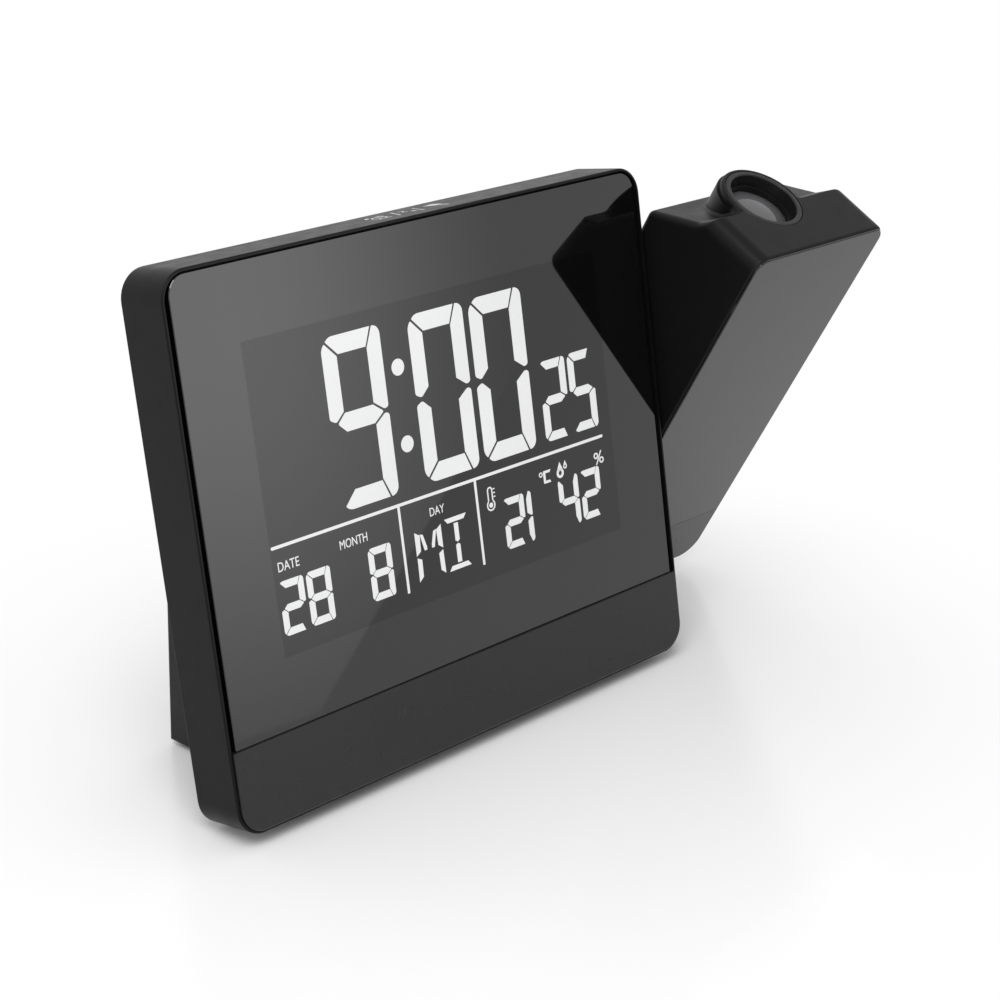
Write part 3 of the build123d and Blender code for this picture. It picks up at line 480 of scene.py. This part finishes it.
def digitBars(height, width, stroke, gap, corner):
    # seven mitred bars; the mitres at the right are steeper than those at the left
    slant = barEnds["slant"] * gap
    cut = barEnds["cornerCut"] * corner
    cornerRound = barEnds["cornerRound"] * corner
    tipRound = barEnds["tipRound"] * stroke
    tipLeft = barEnds["tipLeft"] * stroke
    tipRight = width - barEnds["tipRight"] * stroke
    topCut = width - barEnds["topCut"] * stroke
    half = height / 2
    bars = {
        "f": [(0, half + barEnds["footLeft"] * stroke, tipRound), (0, height - 2 * cut, cornerRound),
              (cut, height - cut - slant, 0), (stroke, height - stroke - slant, 0),
              (stroke, half + stroke / 2 + slant, 0), (tipLeft, half + slant, tipRound)],
        "a": [(cut + slant, height - cut, 0), (2 * cut, height, cornerRound),
              (topCut - gap / 2, height, 0), (width - stroke - gap / 2, height - stroke, 0),
              (stroke + slant, height - stroke, 0)],
        "b": [(width - stroke, half + stroke / 2 + slant, 0), (width - stroke, height - stroke - slant, 0),
              (topCut + gap / 2, height, 0), (width, height, barEnds["rightRound"] * stroke),
              (width, half + barEnds["footRight"] * stroke, tipRound), (tipRight, half + slant, tipRound)],
    }
    for above, below in (("f", "e"), ("a", "d"), ("b", "c")):
        bars[below] = [(x, height - y, radius) for x, y, radius in reversed(bars[above])]
    inner = stroke + gap / 2
    bars["g"] = [(tipLeft + slant, half, tipRound), (inner, half + stroke / 2, 0),
                 (width - inner, half + stroke / 2, 0), (tipRight - slant, half, tipRound),
                 (width - inner, half - stroke / 2, 0), (inner, half - stroke / 2, 0)]
    return bars


def makeDigits(pieces):
    for name, (digits, size, low, lefts) in pieces.items():
        bars = digitBars(**digitSizes[size])
        bm = bmesh.new()
        for digit, left in zip(digits, lefts):
            for letter in segmentsOf[digit]:
                addShape(bm, [(left + x, low + y, radius) for x, y, radius in bars[letter]])
        litPiece(bm, name)


def makeColon():
    colon = {"x": 59.4, "heights": (88.55, 71.45), "radius": 1.85}
    bm = bmesh.new()
    for y in colon["heights"]:
        addDot(bm, colon["x"], y, colon["radius"])
    litPiece(bm, "time_colon")


def makeLines():
    # a line under the time, with two dividers hanging from it
    lines = {"left": 18.2, "right": 121.2, "up": 58.7, "thick": 0.7, "round": 0.3,
             "dividers": (54.5, 78.1), "dividerLow": 38.65, "dividerRound": 0.15}
    half = lines["thick"] / 2
    bm = bmesh.new()
    addBar(bm, lines["left"], lines["right"], lines["up"] - half, lines["up"] + half, lines["round"])
    for x in lines["dividers"]:
        addBar(bm, x - half, x + half, lines["dividerLow"], lines["up"] - half, lines["dividerRound"])
    litPiece(bm, "display_lines")


def makeDayLetters():
    # the strokes of each letter's left half, which are turned over for its right half
    letters = [
        {"left": 58.1, "low": 40.15, "width": 8.1, "strokes": [
            [(0, 11.3), (0, 5.9), (1.35, 6.8), (1.5, 10.4)],
            [(0.1, 5.5), (0, 0), (1.3, 1.0), (1.4, 4.9)],
            [(1.55, 10.6), (2.5, 6.7), (3.3, 6.7), (3.3, 7.4), (2.45, 10.3)]]},
        {"left": 67.4, "low": 39.95, "width": 6.8, "strokes": [
            [(0, 12.1), (0.9, 11.0), (3.4, 11.0), (3.4, 12.1)],
            [(0, 0), (3.4, 0), (3.4, 1.1), (0.9, 1.1)],
            [(2.75, 10.6), (2.75, 6.6), (3.4, 6.2), (3.4, 10.6)],
            [(2.75, 1.5), (3.4, 1.5), (3.4, 5.9), (2.75, 5.5)]]},
    ]
    bm = bmesh.new()
    for letter in letters:
        left, low, right = letter["left"], letter["low"], letter["left"] + letter["width"]
        for corners in letter["strokes"]:
            addShape(bm, [(left + x, low + y) for x, y in corners])
            addShape(bm, [(right - x, low + y) for x, y in reversed(corners)])
    litPiece(bm, "day_letters")


def makeWords():
    # each word's left and right side, and its lowest and highest line, in mm
    words = {"DATE": (19.4, 25.2, 53.35, 55.4), "MONTH": (36.7, 44.6, 53.45, 55.45),
             "DAY": (63.45, 67.9, 53.85, 55.75)}
    halfThick = 0.05
    for word, (left, right, low, high) in words.items():
        text = bpy.data.curves.new(word, "FONT")
        text.body = word
        text.extrude = 1
        text.resolution_u = 4
        letters = bpy.data.objects.new(word, text)
        scene.collection.objects.link(letters)
        bpy.context.view_layer.update()
        bm = bmesh.new()
        bm.from_mesh(bpy.data.meshes.new_from_object(letters))
        bpy.data.objects.remove(letters)
        xs = [vert.co.x for vert in bm.verts]
        ys = [vert.co.y for vert in bm.verts]
        wide = (right - left) / (max(xs) - min(xs))
        tall = (high - low) / (max(ys) - min(ys))
        bmesh.ops.translate(bm, verts=bm.verts, vec=(-min(xs), -min(ys), 0))
        bmesh.ops.scale(bm, verts=bm.verts, vec=(wide * mm, tall * mm, halfThick * mm))
        bmesh.ops.translate(bm, verts=bm.verts, vec=(left * mm, low * mm, 0))
        litPiece(bm, "label_" + word.lower())


def makeThermometer():
    # an open outline with a filled bulb, and rungs at its right, measured from its middle
    glass = {"x": 82.35, "bulbY": 51.6, "bulb": 1.35, "filling": 0.6, "stem": 0.85, "line": 0.36,
             "neckY": 52.6, "topY": 55.05, "bulbStart": 128, "bulbSweep": 284}
    rungs = {"from": 1.0, "to": 1.6, "top": 55.15, "step": 0.9, "half": 0.14, "count": 3}
    bm = bmesh.new()
    x = glass["x"]
    inner = glass["stem"] - glass["line"]
    addHoop(bm, x, glass["bulbY"], glass["bulb"], glass["bulb"] - glass["line"],
            start=glass["bulbStart"], sweep=glass["bulbSweep"])
    addHoop(bm, x, glass["topY"], glass["stem"], inner, sweep=180, segments=12)
    addDot(bm, x, glass["bulbY"], glass["filling"], segments=20)
    for side in (-1, 1):
        edges = sorted((x + side * inner, x + side * glass["stem"]))
        addBar(bm, *edges, glass["neckY"], glass["topY"])
    for rung in range(rungs["count"]):
        y = rungs["top"] - rungs["step"] * rung
        addBar(bm, x + rungs["from"], x + rungs["to"], y - rungs["half"], y + rungs["half"])
    litPiece(bm, "thermometer_mark")


def makeUnits():
    # each sign's rings, their outer and inner radius, and the outline of its letter or slash
    units = {
        "degree_mark": ([(99.2, 54.45)], 0.62, 0.32, [
            (100.0, 55.1), (100.0, 52.3), (100.2, 52.1), (102.4, 52.1), (102.1, 52.7),
            (100.7, 52.7), (100.7, 54.5), (102.2, 54.5), (102.5, 55.1)]),
        "percent_mark": ([(118.25, 54.4), (120.05, 53.1)], 0.78, 0.4, [
            (118.0, 52.2), (118.4, 52.2), (120.3, 55.4), (119.9, 55.4)]),
    }
    for name, (rings, outer, inner, outline) in units.items():
        bm = bmesh.new()
        for x, y in rings:
            addHoop(bm, x, y, outer, inner, segments=20)
        addShape(bm, outline)
        litPiece(bm, name)


def makeDrops():
    # two drops: a ring with a pointed cap; the shares are of the ring's radius
    drops = [{"x": 105.65, "y": 53.35, "radius": 1.2, "tip": 2.65},
             {"x": 107.5, "y": 54.6, "radius": 0.62, "tip": 1.4}]
    shares = {"hole": 0.45, "capSide": 0.9, "capRise": 0.44}
    tipShift = 0.06
    bm = bmesh.new()
    for drop in drops:
        x, y, radius = drop["x"], drop["y"], drop["radius"]
        addHoop(bm, x, y, radius, radius * shares["hole"], segments=24)
        side = radius * shares["capSide"]
        rise = radius * shares["capRise"]
        addShape(bm, [(x - side, y + rise), (x + side, y + rise), (x + tipShift, y + drop["tip"])])
    litPiece(bm, "drops_mark")


makeDigits(timeDigits)
makeColon()
makeDigits(otherDigits)
makeLines()
makeDayLetters()
makeWords()
makeThermometer()
makeUnits()
makeDrops()
print("display made")


def addClockFace(bm, x, y, face):
    addHoop(bm, x, y, face["radius"], face["radius"] - face["rim"], printLevels)
    addStroke(bm, (x, y), (x, y + face["longHand"]), face["hand"])
    addStroke(bm, (x, y), (x + face["shortHand"], y), face["hand"])


def makeAlarmTouchMark():
    # a clock with two bells on top and two feet, measured from its middle
    face = {"radius": 1.9, "rim": 0.45, "longHand": 1.0, "shortHand": 0.8, "hand": 0.3}
    bells = {"across": 1.6, "up": 1.7, "outer": 1.0, "inner": 0.35}
    feet = {"from": (1.2, -1.5), "to": (1.7, -2.3), "line": 0.45}
    x, y = 65.3, 6.65  # its place on the top edge
    bm = bmesh.new()
    addClockFace(bm, x, y, face)
    for side, start in ((-1, 45), (1, -45)):
        addHoop(bm, x + side * bells["across"], y + bells["up"], bells["outer"], bells["inner"],
                printLevels, start=start, sweep=180, segments=10)
        top, bottom = [(x + side * out, y + up) for out, up in (feet["from"], feet["to"])]
        addStroke(bm, top, bottom, feet["line"])
    printPiece(bm, "alarm_touch_mark", topFrame)


def makeTouchDividers():
    # a slanting line on each side of the sleepy letters
    dividers = {"ends": [((71.8, 10.15), (69.3, 4.15)), ((77.9, 9.65), (76.4, 4.15))], "line": 0.4}
    bm = bmesh.new()
    for start, end in dividers["ends"]:
        addStroke(bm, start, end, dividers["line"])
    printPiece(bm, "touch_dividers", topFrame)


def makePauseTouchMark():
    # two sleepy letters, each from three strokes
    letters = {"places": [(73.4, 7.85, 1.5), (75.0, 6.05, 1.0)], "line": 0.35}
    bm = bmesh.new()
    for x, y, size in letters["places"]:
        half = size / 2
        corners = [(x - half, y + half), (x + half, y + half), (x - half, y - half), (x + half, y - half)]
        for start, end in zip(corners, corners[1:]):
            addStroke(bm, start, end, letters["line"])
    printPiece(bm, "pause_touch_mark", topFrame)


def makeLampTouchMark():
    lamp = {"shade": [(80.4, 8.85), (82.4, 6.45), (84.6, 7.05), (84.0, 9.65)],
            "stem": ((83.5, 6.75), (84.3, 4.45)), "line": 0.7}
    bm = bmesh.new()
    addShape(bm, lamp["shade"], printLevels)
    addStroke(bm, *lamp["stem"], lamp["line"])
    printPiece(bm, "lamp_touch_mark", topFrame)


def spanIn(place, name):
    # the lowest and highest corner of a node in a drawing's own frame, in mm
    inside = place.inverted()
    points = [inside @ vert.co for vert in frame["nodes"][name].data.vertices]
    low = [min(p[i] for p in points) / mm for i in range(3)]
    high = [max(p[i] for p in points) / mm for i in range(3)]
    return low, high


keySign = {"reach": 1.1, "line": 0.45}


def drawMinus(bm, x, y):
    addStroke(bm, (x - keySign["reach"], y), (x + keySign["reach"], y), keySign["line"])


def drawPlus(bm, x, y):
    drawMinus(bm, x, y)
    addStroke(bm, (x, y - keySign["reach"]), (x, y + keySign["reach"]), keySign["line"])


def drawClock(bm, x, y):
    addClockFace(bm, x, y, {"radius": 1.3, "rim": 0.3, "longHand": 0.8, "shortHand": 0.6, "hand": 0.25})


def drawBell(bm, x, y):
    bell = {"outline": [(-1.2, -0.7, 0), (1.2, -0.7, 0), (0.7, 0.3, 0.2), (0.5, 1.1, 0.4),
                        (-0.5, 1.1, 0.4), (-0.7, 0.3, 0.2)],
            "clapper": 0.3, "clapperDown": 1.05}
    addShape(bm, [(x + across, y + up, radius) for across, up, radius in bell["outline"]], printLevels)
    addDot(bm, x, y - bell["clapperDown"], bell["clapper"], printLevels, segments=16)


def drawArcs(bm, x, y):
    # a sender: a dot with three arcs over it
    sender = {"down": 1.0, "dot": 0.3, "arcs": (0.95, 1.6, 2.25), "line": 0.28, "start": 50, "sweep": 80}
    low = y - sender["down"]
    addDot(bm, x, low, sender["dot"], printLevels, segments=16)
    for radius in sender["arcs"]:
        addHoop(bm, x, low, radius, radius - sender["line"], printLevels, start=sender["start"],
                sweep=sender["sweep"], segments=10)


def drawLamp(bm, x, y):
    bulb = {"up": 0.3, "outer": 0.85, "inner": 0.6, "capSide": 0.4, "capLow": 1.2, "capHigh": 0.7}
    addHoop(bm, x, y + bulb["up"], bulb["outer"], bulb["inner"], printLevels)
    addBar(bm, x - bulb["capSide"], x + bulb["capSide"], y - bulb["capLow"], y - bulb["capHigh"],
           levels=printLevels)


def makeKeyMarks():
    drawings = {"clock_key": drawClock, "alarm_key": drawBell, "sensor_key": drawArcs,
                "light_key": drawLamp, "plus_key": drawPlus, "minus_key": drawMinus}
    for key, draw in drawings.items():
        low, high = spanIn(wallFrame, key)
        bm = bmesh.new()
        draw(bm, (low[0] + high[0]) / 2, (low[1] + high[1]) / 2)
        printPiece(bm, key + "_mark", wallFrame @ moved(0, 0, high[2]), key)


def makeDoorMark():
    # an arrow that stands in the door's finger grip, as high as the door's face, and points down
    arrow = {"up": 3.2, "tip": 1.4, "side": 1.8, "base": 1.0, "round": 0.2, "levels": (0.0, 0.4)}
    low, high = spanIn(wallFrame, "battery_door")
    x = (low[0] + high[0]) / 2
    y = low[1] + arrow["up"]
    bm = bmesh.new()
    addShape(bm, [(x, y - arrow["tip"], arrow["round"]),
                  (x + arrow["side"], y + arrow["base"], arrow["round"]),
                  (x - arrow["side"], y + arrow["base"], arrow["round"])], arrow["levels"])
    finishPiece(bm, "door_arrow", wallFrame @ moved(0, 0, high[2]), materials["case_matte"],
                "battery_door")


makeAlarmTouchMark()
makeTouchDividers()
makePauseTouchMark()
makeLampTouchMark()
makeKeyMarks()
makeDoorMark()
print("printed marks made")

# place in metres, turned by degrees; lens and sensor in mm
view = {
    "place": (-0.35982, -0.355614, 0.23452),
    "down": 20.31,
    "turn": -45.75,
    "lens": 81.9,
    "sensor": 36,
    "clip": (0.01, 50),
}


def stageMesh(name, bm, material):
    mesh = bpy.data.meshes.new(name)
    bm.to_mesh(mesh)
    bm.free()
    mesh.materials.append(material)
    piece = bpy.data.objects.new(name, mesh)
    scene.collection.objects.link(piece)


def rayKinds(material, *kinds):
    # 1 for the named kinds of ray, 0 for the rest
    path = addNode(material, "ShaderNodeLightPath")
    total = path.outputs[kinds[0]]
    for kind in kinds[1:]:
        larger = addNode(material, "ShaderNodeMath", operation="MAXIMUM")
        join(material, total, larger.inputs[0])
        join(material, path.outputs[kind], larger.inputs[1])
        total = larger.outputs["Value"]
    return total


def smoothFade(material, value, limits, low, high):
    fade = addNode(material, "ShaderNodeMapRange", interpolation_type="SMOOTHSTEP")
    fade.inputs["From Min"].default_value, fade.inputs["From Max"].default_value = limits
    fade.inputs["To Min"].default_value = low
    fade.inputs["To Max"].default_value = high
    join(material, value, fade.inputs["Value"])
    return fade.outputs["Result"]


def makeFloor():
    # pale and smooth round the clock, plain white further away; sizes in metres
    floor = {"size": 6, "squares": 8, "edges": (0.05, 0.2), "middle": (-0.02, -0.02, 0)}
    material = newMaterial("pale_floor", color=(0.9, 0.9, 0.9), roughness=0.2, specular=0.3)
    shift = addNode(material, "ShaderNodeVectorMath", operation="SUBTRACT")
    shift.inputs[1].default_value = floor["middle"]
    join(material, objectCoordinates(material), shift.inputs[0])
    length = addNode(material, "ShaderNodeVectorMath", operation="LENGTH")
    join(material, shift.outputs["Vector"], length.inputs[0])
    far = smoothFade(material, length.outputs["Value"], floor["edges"], 0.0, 1.0)
    seen = rayKinds(material, "Is Camera Ray", "Is Glossy Ray", "Is Transmission Ray")
    white = addNode(material, "ShaderNodeEmission")
    mix = addNode(material, "ShaderNodeMixShader")
    join(material, times(material, far, seen), mix.inputs["Fac"])
    join(material, shaderOf(material).outputs["BSDF"], mix.inputs[1])
    join(material, white.outputs["Emission"], mix.inputs[2])
    join(material, mix.outputs["Shader"], material.node_tree.nodes["Material Output"].inputs["Surface"])
    material.cycles.emission_sampling = "NONE"
    bm = bmesh.new()
    bmesh.ops.create_grid(bm, x_segments=floor["squares"], y_segments=floor["squares"], size=floor["size"])
    stageMesh("floor", bm, material)


# a soft light that only reflections see, cut along a slanting line across the front panel;
# its corners and fades are the places, in mm, where the panel mirrors them to the camera, and
# distance is how far it hangs in front of the panel, in metres
glowCard = {
    "distance": 0.12,
    "corners": ((-30, 150), (176, 150), (-14, -13), (-30, -13)),
    "strength": 1.6,
    "fadeAcross": (15, 105),
    "fadeUp": (-5, 105),
    "placeMap": "panel_place",
}


def glowMaterial():
    material = bpy.data.materials.new("glow_card")
    material.use_nodes = True
    material.node_tree.nodes.clear()
    place = addNode(material, "ShaderNodeUVMap", uv_map=glowCard["placeMap"])
    split = addNode(material, "ShaderNodeSeparateXYZ")
    join(material, place.outputs["UV"], split.inputs["Vector"])
    across = smoothFade(material, split.outputs["X"], glowCard["fadeAcross"], glowCard["strength"], 0.0)
    up = smoothFade(material, split.outputs["Y"], glowCard["fadeUp"], 0.0, 1.0)
    strength = times(material, times(material, rayKinds(material, "Is Glossy Ray"), across), up)
    light = addNode(material, "ShaderNodeEmission")
    join(material, strength, light.inputs["Strength"])
    clear = addNode(material, "ShaderNodeBsdfTransparent")
    through = addNode(material, "ShaderNodeAddShader")
    join(material, light.outputs["Emission"], through.inputs[0])
    join(material, clear.outputs["BSDF"], through.inputs[1])
    output = addNode(material, "ShaderNodeOutputMaterial")
    join(material, through.outputs["Shader"], output.inputs["Surface"])
    material.cycles.emission_sampling = "NONE"
    return material


def makeGlowCard():
    eye = faceFrame.inverted() @ Vector(view["place"])
    mirrored = faceFrame @ Vector((eye.x, eye.y, -eye.z))
    bm = bmesh.new()
    verts = []
    for x, y in glowCard["corners"]:
        spot = faceFrame @ Vector((x * mm, y * mm, 0))
        verts.append(bm.verts.new(spot + (spot - mirrored).normalized() * glowCard["distance"]))
    face = bm.faces.new(verts)
    placeLayer = bm.loops.layers.uv.new(glowCard["placeMap"])
    for loop, corner in zip(face.loops, glowCard["corners"]):
        loop[placeLayer].uv = corner
    stageMesh("glow_card", bm, glowMaterial())


def makeWorld():
    # white to the camera, mirrors and glass; the ambient light itself is a little lower
    strengths = {"To Min": 0.75, "To Max": 1.0}
    world = bpy.data.worlds.new("studio")
    world.use_nodes = True
    scene.world = world
    background = world.node_tree.nodes["Background"]
    background.inputs["Color"].default_value = (1, 1, 1, 1)
    strength = addNode(world, "ShaderNodeMapRange")
    for socket, value in strengths.items():
        strength.inputs[socket].default_value = value
    join(world, rayKinds(world, "Is Camera Ray", "Is Transmission Ray", "Is Glossy Ray"),
         strength.inputs["Value"])
    join(world, strength.outputs["Result"], background.inputs["Strength"])


def makeKeyLight():
    # one large soft light above the clock's front left
    lamp = {"place": (-0.6, -0.5, 1.1), "aim": (0, 0, 0.05), "side": 0.7, "watts": 9}
    data = bpy.data.lights.new("key_light", "AREA")
    data.size = lamp["side"]
    data.energy = lamp["watts"]
    light = bpy.data.objects.new("key_light", data)
    light.location = lamp["place"]
    towards = Vector(lamp["aim"]) - Vector(lamp["place"])
    light.rotation_euler = towards.to_track_quat("-Z", "Y").to_euler()
    scene.collection.objects.link(light)


def makeCamera():
    data = bpy.data.cameras.new("camera")
    data.sensor_width = view["sensor"]
    data.lens = view["lens"]
    data.clip_start, data.clip_end = view["clip"]
    camera = bpy.data.objects.new("camera", data)
    camera.location = view["place"]
    camera.rotation_euler = (math.radians(90 - view["down"]), 0, math.radians(view["turn"]))
    scene.collection.objects.link(camera)
    scene.camera = camera


makeCamera()
makeFloor()
makeGlowCard()
makeWorld()
makeKeyLight()
scene.view_settings.view_transform = "Standard"
print("stage, light and camera set")
